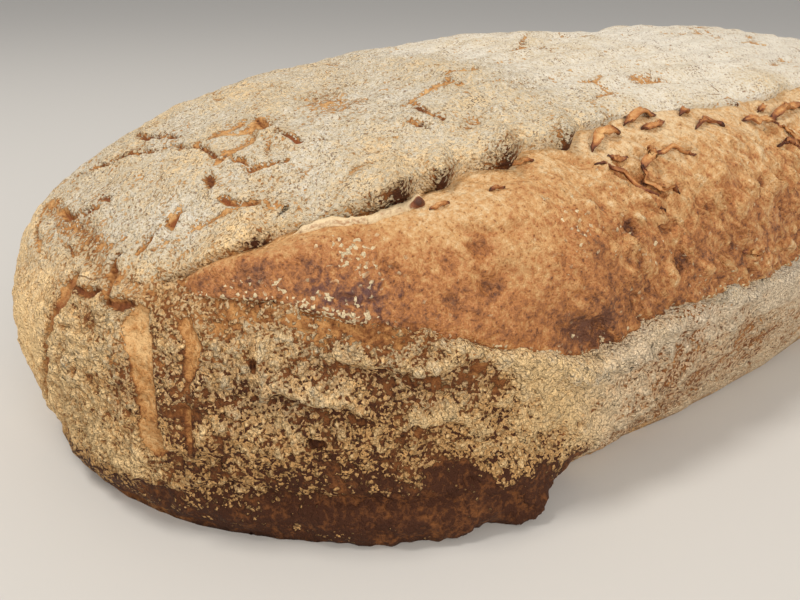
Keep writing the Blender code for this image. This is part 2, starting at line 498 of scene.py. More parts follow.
# Channels: wide splits down the near end, with smooth golden floors. For each: its path, half its width
# at the start and at the end, its depth, and how red its floor is.
CHANNELS = (
    (((-165, -3, 44), (-167, -2, 39), (-169, -2, 34), (-170, 1, 25), (-168, 10, 15)), 2.0, 0.3, 0.9, 0.6),
    (
        ((-162, -24, 42), (-163, -27, 38), (-164, -28, 33), (-164, -29, 29), (-163, -29, 20)),
        2.4, 2.6, 1.0, 0.15,
    ),
    (
        ((-157, -33, 43), (-157, -35, 40), (-158, -36, 36), (-159, -36, 31), (-160, -36, 22)),
        1.6, 0.5, 0.9, 0.25,
    ),
)
for path, start_half, end_half, depth, red in CHANNELS:
    gap, along = near_path(wandered, along_skin(path))
    half = (start_half + (end_half - start_half) * along) / 1000
    inside = ease((half + 0.0005 - gap) / 0.0010)
    raised += 0.0006 * hump(gap, half + 0.0016, 0.0016) - depth / 1000 * inside
    open_skin = np.maximum(open_skin, inside)
    rust = np.maximum(rust, red * inside)
    bake_and_shade = np.where(inside > 0.2, 0.02 + 0.5 * red, bake_and_shade)

# Patches where the flour is rubbed off: a place in millimetres, its reach along and across, and how bare
# it is. A number below nothing lays more flour on.
RUBBED = (
    ((-166, -15, 40), 3.5, 2.0, 0.45),
    ((-169, -12, 30), 9.0, 1.8, 0.35),
    ((-157, 12, 50), 3.5, 1.4, 0.70),
    ((-109, -8, 72), 4.5, 7.5, 0.60),
    ((-124, -7, 68), 2.2, 4.5, 0.55),
    ((-116, -62, 34), 2.4, 1.5, 0.85),
    ((-113, -64, 30), 1.8, 1.3, 0.7),
    ((-122, -59, 15), 4.0, 2.0, 0.7),
    ((-93, -60, 6), 3.6, 5.0, 0.9),
    ((-160, -16, 47), 2.2, 2.0, 0.5),
    ((-152, -36, 44), 3.0, 3.0, 0.35),
    ((-96, -37, 71), 3.5, 2.5, 0.4),
    ((-147, -45, 27), 6.0, 5.0, -0.22),
)
CROWN_FROM, END_WALL_FROM = 60, -160  # in millimetres, up and along: where a patch lies another way
for spot, reach_along, reach_down, bare in RUBBED:
    off = plain * 1000 - spot
    if spot[2] > CROWN_FROM:
        gap = np.hypot(off[:, 0] / reach_along, off[:, 1] / reach_down)
    elif spot[0] < END_WALL_FROM:
        gap = np.hypot(off[:, 1] / reach_along, off[:, 2] / reach_down)
    else:
        gap = np.hypot(off[:, 0] / reach_along, off[:, 2] / reach_down)
    worn = np.exp(-(gap**2)) * (np.abs(off[:, 1]) < 20)
    coat -= bare * worn
    raised -= 0.0004 * worn

# The lower near corner, where the loaf sagged onto its base: a foot that spreads outwards, a crease over
# it, and little flour over a darker bake.
FOOT_REACH, FOOT_MIDDLE, FOOT_HALF = 0.0112, -0.126, 0.047
END_FOOT_REACH = 0.0035
LIP_REACH, LIP_MIDDLE, LIP_HALF = 0.0042, -0.1085, 0.0055  # where the foot stops, torn and turned up
FOOT_LEAN = 0.9
leaning_x = x - FOOT_LEAN * z
near_foot = ease(1.0 - np.abs(leaning_x - FOOT_MIDDLE) / FOOT_HALF) * ease(-4.0 * y / (2 * HALF_WIDTH))
foot = FOOT_REACH * near_foot * ease(1.0 - z / WIDEST_AT)
end_foot = short_of(x, -0.140, 0.02) * short_of(z, 0.020, 0.018) * short_of(y, 0.02, 0.03)
jag = soft_lumps(np.stack([x, y, 0 * z], -1), 0.006, 55, 3)
foot *= 1.0 + 0.20 * jag * short_of(z, 0.012, 0.008)
lip = hump(leaning_x, LIP_MIDDLE, LIP_HALF) * short_of(z, 0.010, 0.008) * (y < -0.03)
foot += LIP_REACH * lip * (1 + 0.8 * jag)
near_corner = short_of(x, -0.086, 0.012)
dark_low = ease((0.0125 + 0.003 * lumps - z) / 0.006) * near_corner * short_of(y, 0.030, 0.03)
low_gaps = short_of(z, 0.023, 0.012) * near_corner * (0.30 + 1.0 * past(x, -0.158, 0.025))
coat -= 0.45 * dark_low + 0.24 * low_gaps
bake_and_shade += 0.78 * dark_low + 0.22 * low_gaps
CREASE = ((-161, -22, 8), (-156, -33, 9), (-150, -41, 10), (-140, -48, 10), (-124, -56, 9), (-112, -60, 8))
CREASE_DEPTH, CREASE_HALF = 0.0018, 0.0018
gap, along = near_path(wandered, along_skin(CREASE))
crease = hump(gap, 0, CREASE_HALF) * np.sin(math.pi * np.clip(along, 0.02, 0.98))
raised += -CREASE_DEPTH * crease + 0.0005 * hump(gap, 0.0045, 0.003) * (gap < PATH_REACH)
# Painted shade: the crease is darkened along its length.
bake_and_shade += 0.45 * crease

# Ledges of flour above the crease, each a path and a height, with a sunken step under it that has less flour
# and is darkened as painted shade.
LEDGES = (
    (((-151, -42, 33), (-146, -49, 32), (-142, -52, 31), (-138, -54, 30), (-134, -56, 28)), 1.5),
    (((-141, -50, 39), (-135, -54, 38), (-127, -58, 36), (-120, -61, 34)), 1.0),
    (((-130, -58, 27), (-124, -60, 26), (-119, -62, 25)), 1.1),
)
for path, height in LEDGES:
    laid = along_skin(path)
    gap, along = near_path(wandered, laid)
    line_height = np.interp(along, np.linspace(0, 1, len(laid)), laid[:, 2])
    side = wandered[:, 2] - line_height
    fade = ease(np.sin(math.pi * along) * 2.2)
    over = np.where(side > 0, hump(gap, 0, 0.0032), hump(gap, 0, 0.0007)) * fade
    under = np.where(side < 0, hump(gap, 0.0016, 0.0014), 0) * fade
    raised += height / 1000 * over * (1 + 0.35 * clumps) - 0.0008 * under
    coat += 0.35 * over - 0.14 * under
    bake_and_shade += 0.10 * under

# The burst: the skin stops at a ragged line below it and at the ear above it, and runs deep between.
ragged = 0.0012 * soft_lumps(plain, 0.009, 41, 2) + 0.0011 * soft_lumps(plain, 0.0028, 43, 2)
above_edge = above_lower + ragged * (1 + 0.8 * short_of(x, -0.118, 0.02))
CREST_PLACES = (-0.165, -0.135, -0.124, -0.116, -0.096, -0.088, -0.05, 0.02)  # along the loaf
CREST_HEIGHTS = (0.0, 0.0, 0.3, 1.2, 1.6, 0.8, 0.9, 0.6)  # of the lower edge there, in millimetres
crest = np.interp(x, CREST_PLACES, CREST_HEIGHTS)
crest_shape = hump(above_edge, -0.0016, 0.0028) * in_score
raised += 0.001 * crest * crest_shape * (1 + 0.55 * clumps)
coat += 0.30 * crest * crest_shape
shelf = past(above_edge, -0.015, 0.006) * short_of(above_edge, -0.0004, 0.002)
shelf *= in_score * past(x, -0.104, 0.02)
raised += shelf * (0.0006 + 0.0009 * clumps + 0.0005 * fine)
coat += 0.04 * shelf
bake_and_shade += 0.05 * shelf
RECESS = 0.0046  # how deep the skin runs under the burst
recess = ease(above_edge / 0.0016) * (past_ear < 0) * in_score

# The ear: tongues of floured skin that reach further over the burst towards the far end, each stopping
# in a torn end. For each: where it starts and ends along the loaf, its reach and its rise, in millimetres.
EAR_TONGUES = (
    (-158, -139.5, 2.8, 2.0), (-138.5, -114.8, 5.2, 3.8), (-114.2, -105.6, 4.4, 3.0),
    (-103.5, -90.8, 5.8, 4.2), (-89.5, -76.0, 5.6, 3.2), (-73, -66, 1.8, 1.0), (-64, -53, 1.6, 0.9),
    (-50, -40, 1.2, 0.8), (-38.5, -21.5, 2.6, 1.8), (-19, -2, 1.8, 1.0), (2, 24, 2.6, 2.0),
    (27, 41, 2.2, 1.4), (45, 72, 3.0, 2.4), (76, 96, 2.6, 1.6), (101, 124, 2.4, 1.6), (127, 150, 1.6, 0.9),
)
EAR_DEPTH = 0.012  # how far down under the ear's edge the tongues' backs are shaped
reach = np.zeros(len(plain))
rise = np.full(len(plain), 0.0003)
edge_x = x + 0.0005 * soft_lumps(plain, 0.003, 47, 2)
torn_end = np.zeros(len(plain))
flank_reach = np.zeros(len(plain))
for start, end, far, high in np.array(EAR_TONGUES) / 1000:
    run = (edge_x - start) / (end - start)
    swell = np.clip(run, 0.0, 1.0) ** 1.2 * ease((end + 0.0007 - edge_x) / 0.0012)
    reach = np.maximum(reach, far * swell)
    rise = np.maximum(rise, high * swell)
    torn_end = np.maximum(torn_end, hump(edge_x, end - 0.0012, 0.0022))
    flank_reach = np.maximum(flank_reach, hump(edge_x, end - 0.0045, 0.0042) * (edge_x < end))
reach *= 1 + 0.25 * soft_lumps(plain, 0.005, 51, 2)
d = past_ear  # up the crown from the ear's edge
front = (y < 0) * in_score
stand = short_of(d, 0.013, 0.013)
lean = short_of(d, 0.009, 0.009)
nose = ease(-d / 0.0016)
back_under = short_of(d, -0.0010, 0.0042)
on_ear = front * (d > -EAR_DEPTH)
raised += on_ear * rise * stand * (1 - nose) * (1 - back_under)
slid += on_ear * (reach * lean * (1 - back_under) - 0.0026 * back_under * past(d, -0.014, 0.004))
raised -= recess * np.where(d > -0.0012, nose, 1.0) * RECESS
standing = front * past(d, -0.010, 0.002) * past(rise, 0.0006, 0.0012)
torn = standing * short_of(d, 0.0006, 0.0016)
rust = np.maximum(rust, 0.45 * torn * torn_end)
open_skin = np.maximum(open_skin, torn * (0.22 + 0.40 * torn_end))
bake_and_shade += 0.12 * torn * torn_end
near_end = front * torn_end * short_of(d, 0.006, 0.006) * past(d, -0.010, 0.002)
# Along each tongue's flank just short of its end, thinner flour and painted shade, as on the tongue's shaded
# underside.
thin_shaded_flank = standing * flank_reach * short_of(d, 0.005, 0.006)
coat -= 0.10 * near_end + 0.14 * thin_shaded_flank
bake_and_shade += 0.12 * near_end + 0.22 * thin_shaded_flank

# Flour: thick over the crown, thinner and clumped low down; bake: darker low down at the near end.
low_front = short_of(z, 0.046, 0.016) * short_of(y, -0.01, 0.03)
nearer, further = short_of(x, -0.096, 0.02), past(x, -0.096, 0.02)
coat -= (0.16 + 0.09 * past(x, -0.152, 0.02)) * low_front * nearer
coat -= (0.10 + 0.10 * short_of(z, 0.027, 0.008)) * low_front * further
bare_edge = short_of(x, -0.112, 0.02) * in_score * hump(above_edge, 0, 0.006)
coat -= 0.54 * bare_edge
bake_and_shade += 0.14 * bare_edge
bake_and_shade += 0.24 * low_front * short_of(x, -0.086, 0.02) + 0.06 * low_front
end_wall = short_of(x, -0.150, 0.010) * short_of(z, 0.046, 0.006)
coat -= 0.04 * end_wall
coat += 0.16 * lumps * short_of(z, 0.05, 0.01) + 0.05 * lumps
coat += 0.12 * past(z, 0.055, 0.01)
coat -= 0.3 * short_of(z, 0.0035, 0.003)
bake_and_shade -= 0.50 * short_of(z, 0.0030, 0.0025)

# Small pits and holes: a place in millimetres, half its width and its depth. Each is bare of flour and
# darkened inside as painted shade.
PITS = (
    ((-143, -50, 22), 1.5, 1.9),
    ((-93, -60, 3), 0.9, 2.2),
    ((-151, -44, 38), 0.8, 0.8),
    ((-119, -60, 12), 2.2, 1.3),
)
for spot, half, depth in PITS:
    spot = plain[skin_tree.find(np.array(spot) / 1000)[1]]
    gap = np.linalg.norm(wandered - spot, axis=-1)
    inside = ease((half / 1000 + 0.0003 - gap) / (half / 1000))
    raised -= depth / 1000 * inside
    bake_and_shade += 0.6 * inside
    coat -= 0.8 * inside

# Flour baked on in clumps, low down: each stands up, pale, over skin darkened in the gaps as painted shade.
crumbly = 0.12 + 0.88 * short_of(z, 0.050, 0.010) * short_of(y, 0.02, 0.03)
crumbly = np.maximum(crumbly, 0.12 + 0.30 * near_half) + 0.25 * near_end
coat -= 0.07 * near_half * past(z, 0.050, 0.010)
CLUMP_SIZE, GRAIN_SIZE = 0.0030, 0.0017
_, clump_wall, clump_name = cells(warped(plain, 0.0011, 0.0030, 101), CLUMP_SIZE, 61)
_, grain_wall, grain_name = cells(warped(plain, 0.0007, 0.0020, 111), GRAIN_SIZE, 63)
stands = ease((1.15 * coat + 0.30 * lumps - 0.05 - clump_name) / 0.25) * ease(clump_wall / 0.0009)
grains = ease((1.25 * coat - grain_name) / 0.2) * ease(grain_wall / 0.0005)
rough = np.clip(crumbly - 0.12, 0, 1) * (0.15 + 0.85 * short_of(y, 0.040, 0.016) * short_of(x, 0.004, 0.05))
rough *= (1 - open_skin) * past(z, 0.002, 0.004) * (1 - 0.75 * dark_low)
raised += rough * (0.00105 * (stands - 0.45) + 0.00055 * (grains - 0.5))
coat += rough * (0.34 * (stands - 0.50) + 0.12 * (grains - 0.5))
bake_and_shade += rough * 0.40 * (0.46 - stands)

shaped = plain + outward * raised[:, None] + down_skin * (slid * on_dome)[:, None]
shaped[:, 1] -= foot
shaped[:, 0] -= END_FOOT_REACH * end_foot
shaped[:, 2] = np.where(plain[:, 2] <= 1e-6, 0.0, np.maximum(shaped[:, 2], 0.0))
place_points(crust, shaped)
paint(crust, "coating", coat, bake_and_shade, open_skin)
paint(crust, "tearing", rust, torn_end * torn, crumbly)

# The flour's own colour: toasted towards the near end and low down, and pinkish along the lower front.
toasted = 0.12 + 0.30 * short_of(x, 0.03, 0.16)
toasted += 0.34 * short_of(z, 0.056, 0.02) + 0.26 * short_of(z, 0.036, 0.02)
toasted += 0.15 * hump(past_ear, 0, 0.012) * front + 0.10 * lumps - 0.22 * rough * (stands - 0.5)
plainer = np.maximum(past(y, -0.03, 0.05), past(x, 0.10, 0.04))  # the back and the far end
paler = past(x, -0.108, 0.02 + 0.12 * plainer) * short_of(z, 0.046, 0.012 + 0.02 * plainer)
toasted -= 0.24 * paler + 0.22 * shelf
pinkish = past(x, -0.100, 0.02 + 0.12 * plainer)
pinkish *= short_of(z, 0.040 + 0.014 * plainer, 0.01 + 0.032 * plainer)
paint(crust, "toasting", toasted, pinkish)


# The material's nodes are written as sums on wires, each of which holds one socket.
TINTED, TINT_FROM, TINT_TO = 2, 6, 7  # the Mix node's colour sockets: its result and its two ends


class Wire:
    """A socket of a material's nodes. Arithmetic on it adds Math nodes."""

    def __init__(self, tree, socket=None):
        self.tree, self.socket = tree, socket

    def add(self, kind, settings=(), inputs=(), output=0):
        """Another node: its settings are set first, then the values or wires of its sockets."""
        node = self.tree.nodes.new("ShaderNode" + kind)
        for name, value in dict(settings).items():
            if name != "stops":
                setattr(node, name, value)
                continue
            ramp = node.color_ramp.elements
            while len(ramp) < len(value):
                ramp.new(0.5)
            for stop, (position, colour) in zip(ramp, value):
                stop.position, stop.color = position, (*colour, 1.0)
        for key, value in dict(inputs).items():
            if isinstance(value, Wire):
                self.tree.links.new(value.socket, node.inputs[key])
            else:
                node.inputs[key].default_value = value
        return Wire(self.tree, node.outputs[output])

    def maths(self, operation, first, second):
        return self.add("Math", {"operation": operation}, {0: first, 1: second})

    def __add__(self, other):
        return self.maths("ADD", self, other)

    def __sub__(self, other):
        return self.maths("SUBTRACT", self, other)

    def __rsub__(self, other):
        return self.maths("SUBTRACT", other, self)

    def __mul__(self, other):
        return self.maths("MULTIPLY", self, other)

    __radd__, __rmul__ = __add__, __mul__

    def other(self, output):
        """Another output of the same node."""
        return Wire(self.tree, self.socket.node.outputs[output])

    def pushed(self, amount, size):
        """Places pushed about by noise of this size, so that what is drawn on them wanders."""
        push = self.grain(size, 2.0).other(1)
        return self.add("VectorMath", {"operation": "MULTIPLY_ADD"}, {0: push, 1: (amount,) * 3, 2: self})

    def crumbs(self, size):
        """Rounded grains of this size: each one's height, 1 at its middle, and its own random number."""
        near = self.add("TexVoronoi", (), {"Vector": self, "Scale": 1 / size})
        own = self.add("SeparateColor", (), {0: near.other(1)})
        return (1 - near * 1.25).step(0.0, 0.75), own

    def most(self, other):
        """The larger of the two."""
        return self.maths("MAXIMUM", self, other)

    def grain(self, size, detail=2.0, roughness=0.5):
        """Noise of this size in metres, on places, mostly between 0.3 and 0.7."""
        settings = {"Vector": self, "Scale": 1 / size, "Detail": detail, "Roughness": roughness}
        return self.add("TexNoise", (), settings)

    def step(self, low, high):
        """0 below low, 1 above high, and smooth between."""
        ends = {"Value": self, "From Min": low, "From Max": high}
        return self.add("MapRange", {"interpolation_type": "SMOOTHSTEP"}, ends)

    def tint(self, first, second):
        """The first colour where this is 0, the second where it is 1."""
        first = first if isinstance(first, Wire) else (*first, 1.0)
        second = second if isinstance(second, Wire) else (*second, 1.0)
        return self.add("Mix", {"data_type": "RGBA"}, {0: self, TINT_FROM: first, TINT_TO: second}, TINTED)


OBJECT_PLACES = 3  # the Texture Coordinate node's output


def new_finish(name, piece):
    """A material put on the piece: its tree's wire, its places in metres, and its shader."""
    finish = bpy.data.materials.new(name)
    finish.use_nodes = True
    piece.data.materials.clear()
    piece.data.materials.append(finish)
    shader = finish.node_tree.nodes["Principled BSDF"]
    tree = Wire(finish.node_tree)
    return tree, tree.add("TexCoord", output=OBJECT_PLACES), shader


def painted(tree, name):
    """The three shares painted under this name."""
    colour = tree.add("Attribute", {"attribute_name": name})
    return [tree.add("SeparateColor", (), {0: colour}, k) for k in range(3)]


def join(wire, shader, socket):
    """Leads the wire into one of the shader's sockets."""
    wire.tree.links.new(wire.socket, shader.inputs[socket])


def bump(height, shader, shine):
    """Gives the shader this fine relief, in metres, and this share of a plain surface's shine."""
    tree = Wire(height.tree)
    join(tree.add("Bump", (), {"Height": height, "Distance": 1.0, "Strength": 1.0}), shader, "Normal")
    shader.inputs["Specular IOR Level"].default_value = shine


# The floured crust: baked skin that runs from golden to nearly black, under fine flour that thins out to
# separate grains, and under thick flour where it is clumped.
BAKES = (
    (0.0, (0.70, 0.45, 0.21)),
    (0.35, (0.48, 0.235, 0.080)),
    (0.65, (0.215, 0.080, 0.024)),
    (1.0, (0.058, 0.020, 0.009)),
)
FINE_FLOURS = ((0.0, (0.70, 0.65, 0.54)), (0.42, (0.57, 0.46, 0.30)), (1.0, (0.60, 0.345, 0.138)))
THICK_FLOURS = ((0.0, (0.76, 0.72, 0.63)), (0.42, (0.65, 0.56, 0.41)), (1.0, (0.94, 0.67, 0.345)))
PINK_FINE_FLOUR, PINK_THICK_FLOUR = (0.68, 0.46, 0.28), (0.90, 0.72, 0.50)
RUST = (0.25, 0.080, 0.028)
BIG_GRAIN, SMALL_GRAIN, PINHOLE, HAIRLINE_SPACING = 0.00092, 0.00052, 0.00046, 0.015
SKIN_ROUGHNESS, FLOUR_ROUGHNESS = (0.60,) * 3, (0.95,) * 3

tree, place, shader = new_finish("floured_crust", crust)
coat_share, bake_and_shade_share, bare = painted(tree, "coating")
red, charred, crumbly = painted(tree, "tearing")
dust = place.grain(0.00040, 2.0, 0.6)
grit = place.grain(0.0010, 3.0, 0.62)
clump = place.grain(0.0034, 3.0, 0.6)
patch = place.grain(0.013, 3.0, 0.55)
streak = place.add("Mapping", (), {"Vector": place, "Scale": (0.35, 1.0, 1.0)}).grain(0.005, 3.0, 0.6)
cover = coat_share - 1.05 * bare + 0.95 * (clump - 0.5) + 0.75 * (streak - 0.5) + 0.60 * (grit - 0.5)
loose = place.pushed(0.0008, 0.0016)
big_shape, big_number = loose.crumbs(BIG_GRAIN)
small_shape, small_number = loose.crumbs(SMALL_GRAIN)
big = (cover * 1.10 - 0.22 - big_number).step(-0.04, 0.06) * crumbly
small = (cover * 1.35 - 0.20 - small_number).step(-0.05, 0.07)
pinhole = (place.grain(PINHOLE, 1.0, 0.5) + 0.5 * (clump - 0.5)).step(0.63, 0.70) * (1 - 0.5 * crumbly)
flour = big.most(small) * (1 - 0.8 * pinhole)
hairline_places = {"Vector": place.pushed(0.012, 0.018), "Scale": 1 / HAIRLINE_SPACING}
hairline = place.add("TexVoronoi", {"feature": "DISTANCE_TO_EDGE"}, hairline_places)
hairline = (1 - hairline.step(0.002, 0.016)) * patch.step(0.60, 0.68) * (1 - crumbly * 0.7)
flour = flour * (1 - hairline)
# Painted shade: where the flour is thick among the clumps, the skin showing between its grains is darkened.
between = (coat_share - 0.2).step(0.0, 0.4) * (1 - bare.step(0.2, 0.7)) * crumbly
darkness = bake_and_shade_share + 0.65 * (patch - 0.5) + 0.9 * (clump - 0.5) + 1.0 * (grit - 0.5) + 0.5 * charred
darkness = darkness + 0.22 * between + 0.3 * pinhole
skin = tree.add("ValToRGB", {"stops": BAKES}, {0: darkness})
skin = (red * (clump + 0.45) + 0.5 * hairline).step(0.3, 0.9).tint(skin, RUST)
toasted, pinkish, _ = painted(tree, "toasting")
toast = (toasted + 0.5 * (patch - 0.5) + 0.30 * (small_number - 0.5) + 0.3 * (clump - 0.5)).step(0.0, 1.0)
fine_flour = tree.add("ValToRGB", {"stops": FINE_FLOURS}, {0: toast})
fine_flour = (pinkish * 0.8).tint(fine_flour, PINK_FINE_FLOUR)
thick_flour = tree.add("ValToRGB", {"stops": THICK_FLOURS}, {0: toast})
thick_flour = (pinkish * 0.8).tint(thick_flour, PINK_THICK_FLOUR)
thick = (cover + 0.8 * (dust - 0.5) + 0.3 * big * big_shape).step(0.56, 1.12)
join(flour.tint(skin, thick.tint(fine_flour, thick_flour)), shader, "Base Color")
join(flour.tint(SKIN_ROUGHNESS, FLOUR_ROUGHNESS), shader, "Roughness")
height = (0.00010 + 0.00075 * crumbly) * big * big_shape + (0.00006 + 0.00034 * crumbly) * small * small_shape
height = height + (0.00012 + 0.00030 * crumbly) * flour + (0.0009 + 0.0004 * crumbly) * (clump - 0.5)
height = height + (0.00050 + 0.0005 * crumbly) * (grit - 0.5)
height = height + 0.00012 * (dust - 0.5) - 0.0003 * hairline
bump(height, shader, 0.14)

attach(crust, "root")
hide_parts("loaf")


# Burst: the dough that swelled out of the score in the oven, between the ear and the lower edge of the
# cut. It has no flour of its own, so it baked golden to brown, with blisters and small pits.
BURST_CELLS_ALONG = (59, 9)  # cuts, then cuts of each cell again
BURST_CELLS_ACROSS = (53, 1)  # on its top face alone
TOP_FACE = 0.9  # a box's edges over this height lie in its top face
BURST_TIP = math.radians(74)
BURST_SWELL = 0.0028
BURST_THICKNESS = 0.0070
TUCKED_SHARE = 0.075  # of its width, under the crust at either side
TUCKED_DEPTH, TIP_DEPTH = 0.0032, 0.0026
NARROWEST = 0.03  # of the burst's width, as an angle up the dome, so that its ends stay open cells
BLISTER_SIZE, HOLLOW_SIZE = 0.0023, 0.0037

burst = new_box()
burst.name = "burst"
for count in BURST_CELLS_ACROSS:
    bpy.ops.mesh.select_all(action="DESELECT")
    grid = bmesh.from_edit_mesh(burst.data)
    for edge in grid.edges:
        first, last = edge.verts[0].co, edge.verts[1].co
        edge.select_set(abs(first.y - last.y) > TINY and min(first.z, last.z) > TOP_FACE)
    bmesh.update_edit_mesh(burst.data)
    bpy.ops.mesh.subdivide(number_cuts=count)
cut_cells(burst, 0, *BURST_CELLS_ALONG)
bpy.ops.object.mode_set(mode="OBJECT")

u, v, w = points_of(burst).T
run = (u + 1) / 2
turned = BURST_TIP * (2 * (0.72 * run + 0.28 * run**3) - 1)
across = -TUCKED_SHARE + (1 + 2 * TUCKED_SHARE) * (v + 1) / 2
angle = turned - math.pi / 2
turn = np.abs(turned)
lower_climb = np.arccos(dome_share(lower_height(turn)))
width = np.maximum(np.arccos(ear_share(turn)) - lower_climb, NARROWEST)
climb = lower_climb + width * across
plain_burst = dome_points(angle, np.cos(climb))
top = w > 0
UNDERSIDE_SCALE = 0.98  # the underside is laid a little inside, so that its faces can be told apart
place_points(burst, np.where(top[:, None], plain_burst, plain_burst * UNDERSIDE_SCALE))
face_outwards()
place_points(burst, plain_burst)
share = np.cos(climb)
NEXT, LAST_SHARE = 0.002, 0.9999
step_round = dome_points(angle + NEXT, share) - dome_points(angle - NEXT, share)
step_down = dome_points(angle, np.minimum(share + NEXT, LAST_SHARE)) - dome_points(angle, share - NEXT)
outward = np.cross(step_down, step_round)
outward /= np.linalg.norm(outward, axis=-1, keepdims=True)
outward *= np.sign((outward * plain_burst).sum(-1, keepdims=True))
x, y, z = plain_burst.T
past_ear, above_lower = score_places(angle, share)
middle = np.clip(across, 0, 1)
tip = past(turn, math.radians(64), math.radians(8))

# Blisters run down and towards the far end, as the dough was stretched.
SLANT = math.radians(33)
STRETCH = 0.46
lie = warped(np.stack([x, -past_ear, 0 * x], -1), 0.0018, 0.008, 91)
across_lie = lie[:, 0] * math.cos(SLANT) - lie[:, 1] * math.sin(SLANT)
along_lie = lie[:, 0] * math.sin(SLANT) + lie[:, 1] * math.cos(SLANT)
drawn = np.stack([across_lie, along_lie * STRETCH, 0 * x], -1)
from_middle, from_wall, name = cells(drawn, BLISTER_SIZE, 5)
big_middle, big_wall, big_name = cells(drawn, HOLLOW_SIZE, 6)
blistered = 0.18 + 0.82 * past(x, -0.106, 0.030)
blistered *= 0.25 + 0.75 * short_of(middle, 0.93, 0.22)
pits = (name > 0.78) * short_of(from_middle, 0.0013, 0.0010) * blistered
hollows = (big_name > 0.66) * short_of(big_middle, 0.0021, 0.0015) * (0.25 + 0.75 * blistered)
pillows = ease(from_wall / 0.0008)
big_pillows = ease(big_wall / 0.0013)
ripple = soft_lumps(drawn, 0.0024, 17, 3)

# Its rise: it swells most in its lower half, and drops under the ear.
BURST_SUNK = 0.0004
ear_drop = 0.0031 + 0.0014 * short_of(x, -0.070, 0.02)
full = 0.35 + 0.65 * past(x, -0.128, 0.03)
raised = BURST_SWELL * full * ease(middle / 0.55)
raised -= (ear_drop - BURST_SWELL * (1 - full)) * past(middle, 0.52, 0.5)
raised = raised * (1 - tip) - BURST_SUNK
raised += 0.0011 * soft_lumps(plain_burst, 0.034, 12, 2) + 0.00055 * soft_lumps(plain_burst, 0.012, 13, 2)
pillowed = blistered * (0.35 + 0.65 * short_of(middle, 0.80, 0.25)) * past(x, -0.112, 0.02)
raised += (0.15 + blistered) * (0.00045 * (pillows - 0.5) + 0.00050 * ripple)
raised += 0.00190 * pillowed * (big_pillows - 0.5)
raised -= 0.0012 * pits + 0.0019 * hollows
raised += 0.00016 * soft_lumps(plain_burst, 0.0026, 15, 3)

# Its bake: darker low down, plum-coloured at one mark, with stray flour at its ends. The pits, the hollows
# and the low walls between blisters are darkened as painted shade, and the blisters' raised middles lightened
# as painted highlight, over its own mottled bake.
burst_bake_and_shade = 0.19 + 0.42 * short_of(middle, 0.80, 0.62) + 0.12 * short_of(x, -0.112, 0.02)
burst_bake_and_shade += 0.10 * soft_lumps(plain_burst, 0.014, 18, 3) + 0.10 * ripple * blistered
burst_bake_and_shade += 0.26 * pits + 0.32 * hollows
burst_bake_and_shade -= 0.10 * (pillows - 0.5) * blistered + 0.34 * (big_pillows - 0.5) * pillowed
burst_bake_and_shade -= 0.13 * past(x, -0.090, 0.02) + 0.08 * past(x, -0.070, 0.03) * short_of(middle, 0.45, 0.3)
burst_bake_and_shade += 0.03 * past(x, -0.150, 0.02) * past(middle, 0.3, 0.3)
plum = hump(x, -0.133, 0.008) * hump(z, 0.0475, 0.004)
plum *= 0.7 + 0.5 * soft_lumps(plain_burst, 0.005, 19, 3)
plum += 0.08 * soft_lumps(plain_burst, 0.009, 20, 3) * short_of(x, -0.105, 0.02)
dusted = 0.24 * short_of(middle, 0.07, 0.10) + 0.10 * tip
dusted += 0.22 * short_of(x, -0.124, 0.02) * short_of(middle, 0.36, 0.36)
dusted += 0.06 * soft_lumps(plain_burst, 0.011, 25, 2)

# Single marks: a place in millimetres, half its width, how deep it is and how much darker it baked.
MARKS = (
    ((-145, -37, 51), 2.0, -0.4, 0.22),
    ((-111, -56, 53), 1.4, 0.8, 0.30),
    ((-117, -55, 52), 1.1, 0.4, 0.18),
    ((-111, -60, 47), 1.3, 0.8, 0.30),
    ((-93, -68, 36), 4.6, 1.6, 0.24),
    ((-101, -66, 40), 3.5, 0.8, 0.10),
    ((-80, -65, 52), 1.6, 0.6, 0.30),
    ((-137, -43, 52), 1.5, 0.3, 0.12),
    ((-124, -50, 52), 2.2, -0.3, 0.0),
)
for spot, half, depth, darker in MARKS:
    gap = np.linalg.norm(plain_burst - np.array(spot) / 1000, axis=-1)
    worn = hump(np.maximum(gap - 0.001, 0), 0, half / 1000)
    raised -= depth / 1000 * worn
    burst_bake_and_shade += darker * worn
FLOUR_SPILL, SPILL_HALF = (-0.1325, -0.046, 0.053), 0.0034
dusted += 0.36 * hump(np.linalg.norm(plain_burst - FLOUR_SPILL, axis=-1), 0, SPILL_HALF)

# Its sides go in under the crust, and deeper where the first big tongue of the ear hangs over it.
raised -= 0.0024 * hump(x, -0.119, 0.009) * past(middle, 0.84, 0.10)
under = short_of(across, 0.02, 0.09) + past(across, 0.985, 0.085)
raised -= TUCKED_DEPTH * under + TIP_DEPTH * tip
place_points(burst, plain_burst + outward * np.where(top, raised, -BURST_THICKNESS)[:, None])
paint(burst, "baking", burst_bake_and_shade, plum, dusted)
paint(burst, "blisters", blistered * 0.8 + 0.2)

# The burst dough: golden to brown and bare, darker in its pits, with fine streaks the way it stretched.
stretched = Vector((0.42, -0.50, -0.76)).normalized()
flat = stretched.cross(Vector((0, 0, 1))).normalized()
turned_to = Matrix((stretched, flat, stretched.cross(flat))).to_euler()
STREAK_STRETCH = (0.38, 1.0, 1.0)
BUMP_SIZE, SPECK_SIZE = 0.0017, 0.00062
DOUGH_BAKES = (
    (0.0, (0.75, 0.56, 0.33)),
    (0.32, (0.60, 0.345, 0.142)),
    (0.64, (0.42, 0.165, 0.048)),
    (1.0, (0.12, 0.042, 0.018)),
)
PLUM, PORE = (0.11, 0.042, 0.034), (0.10, 0.036, 0.018)
PALE_SPECK, TOASTED_SPECK = (0.74, 0.60, 0.38), (0.60, 0.44, 0.24)

